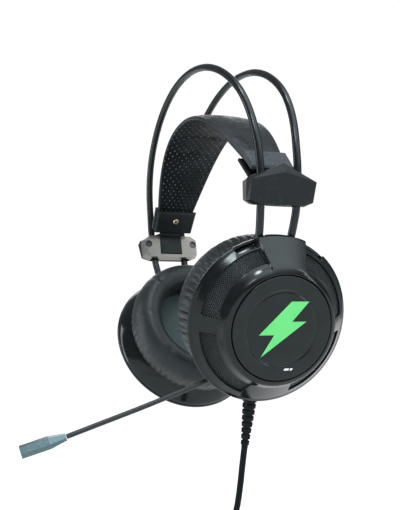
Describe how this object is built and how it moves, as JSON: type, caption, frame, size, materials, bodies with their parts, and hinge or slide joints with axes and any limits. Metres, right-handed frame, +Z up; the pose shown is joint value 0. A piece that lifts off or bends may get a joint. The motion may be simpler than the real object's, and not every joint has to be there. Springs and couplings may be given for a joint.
{
  "type": "gaming headset",
  "caption": "Over-ear headset with round tilting ear cups, a padded strap sliding on two wire hoops, a swinging boom microphone, lit emblems and a USB lead.",
  "frame": {"origin": "middle of the wearer's head, halfway between the middles of the two ear cups' rims", "axes": "+Z up to the crown, -Y the way the wearer faces, +X to the wearer's left ear, whose cup carries the microphone and the lead"},
  "size_m": [0.198, 0.1887, 0.4044],
  "materials": {
    "gloss_black": "gloss",
    "satin_black": "satin",
    "mesh_black": "fine mesh",
    "hoop_black": "semi-gloss",
    "slider_grey": "satin metallic paint",
    "steel": "polished",
    "leatherette": "soft grain",
    "cloth": "woven",
    "rubber": "matte",
    "glow_green": "lit lens",
    "board_green": "solder mask",
    "steel_blue": "satin",
    "brass": "plated"
  },
  "bodies": {
    "frame": {"hoop_front": "hoop_black", "hoop_rear": "hoop_black", "left_hoop_anchor": "satin_black", "left_pivot_pin_front": "steel", "left_pivot_pin_rear": "steel", "right_hoop_anchor": "satin_black", "right_pivot_pin_front": "steel", "right_pivot_pin_rear": "steel"},
    "left_cup": {"left_housing": "gloss_black", "left_front_cover": "gloss_black", "left_grille": "mesh_black", "left_centre_disc": "gloss_black", "left_emblem_lens": "glow_green", "left_led_board": "board_green", "left_baffle": "satin_black", "left_driver": "satin_black", "left_speaker_cloth": "cloth", "left_ear_pad": "leatherette", "strain_relief": "rubber", "cord": "rubber", "cord_tail": "rubber", "cord_coil": "rubber", "cable_tie": "satin_black", "usb_plug_body": "satin_black", "usb_plug_shell": "steel"},
    "right_cup": {"right_housing": "gloss_black", "right_front_cover": "gloss_black", "right_grille": "mesh_black", "right_centre_disc": "gloss_black", "right_emblem_lens": "glow_green", "right_led_board": "board_green", "right_baffle": "satin_black", "right_driver": "satin_black", "right_speaker_cloth": "cloth", "right_ear_pad": "leatherette"},
    "left_slider": {"left_slider_shell": "gloss_black", "left_slider_plate": "slider_grey", "left_slider_tongue": "satin_black", "left_slider_screw_front": "steel", "left_slider_screw_rear": "steel"},
    "right_slider": {"right_slider_shell": "gloss_black", "right_slider_plate": "slider_grey", "right_slider_tongue": "satin_black", "right_slider_screw_front": "steel", "right_slider_screw_rear": "steel"},
    "strap": {"strap_cover": "leatherette", "strap_lining": "leatherette", "left_cap_outer": "satin_black", "left_cap_inner": "satin_black", "left_cap_rivet": "brass", "right_cap_outer": "satin_black", "right_cap_inner": "satin_black", "right_cap_rivet": "brass"},
    "mic": {"mic_knuckle": "satin_black", "mic_boom": "rubber", "mic_capsule": "steel_blue", "mic_element": "mesh_black"}
  },
  "joints": [
    {"name": "left_cup_tilt", "type": "hinge", "parent": "frame", "child": "left_cup", "pos_m": [0.07555, -0.00037, 0.03725], "axis": [0.0349, 0.9994, 0], "range_deg": [-6, 6]},
    {"name": "right_cup_tilt", "type": "hinge", "parent": "frame", "child": "right_cup", "pos_m": [-0.07555, -0.00037, 0.03725], "axis": [-0.0349, 0.9994, 0], "range_deg": [-6, 6]},
    {"name": "left_slider_run", "type": "hinge", "parent": "frame", "child": "left_slider", "pos_m": [0, 0, 0.089], "axis": [0, -1, 0], "range_deg": [0, 13]},
    {"name": "right_slider_run", "type": "hinge", "parent": "frame", "child": "right_slider", "pos_m": [0, 0, 0.089], "axis": [0, 1, 0], "range_deg": [0, 13]},
    {"name": "strap_lift", "type": "slide", "parent": "frame", "child": "strap", "axis": [0, 0, 1], "range_m": [0, 0.0177]},
    {"name": "mic_swing", "type": "hinge", "parent": "left_cup", "child": "mic", "pos_m": [0.04486, -0.02638, -0.0317], "axis": [-0.9273, 0.0324, 0.373], "range_deg": [-12, 40]}
  ],
  "couplings": [
    {"joint": "right_slider_run", "follows": "left_slider_run", "ratio": 1},
    {"joint": "strap_lift", "follows": "left_slider_run", "m_per_rad": 0.0776}
  ]
}
